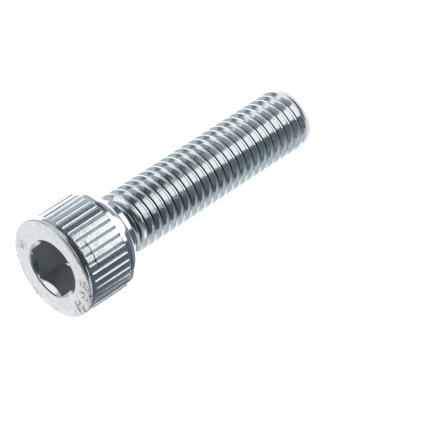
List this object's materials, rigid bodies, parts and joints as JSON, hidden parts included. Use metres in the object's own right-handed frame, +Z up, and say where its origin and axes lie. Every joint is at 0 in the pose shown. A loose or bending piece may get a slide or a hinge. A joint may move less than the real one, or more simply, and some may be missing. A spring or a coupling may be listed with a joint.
{
  "type": "hex socket cap screw",
  "caption": "Cap screw with a tall knurled cylindrical head, a hexagon socket and a straight threaded shank, standing on its flat point; it is turned in with a hex key to clamp parts together.",
  "frame": {"origin": "middle of the flat end of the point, on which the screw stands", "axes": "+Z up along the screw's axis, from the point to the socket; +X and +Y across it, with a socket corner and a groove facing -Y"},
  "size_m": [0.0162, 0.0162, 0.05],
  "materials": {
    "zinc": "bright zinc plate on steel, with a few scratches and small dark specks"
  },
  "bodies": {
    "root": {"screw": "zinc"}
  },
  "joints": []
}
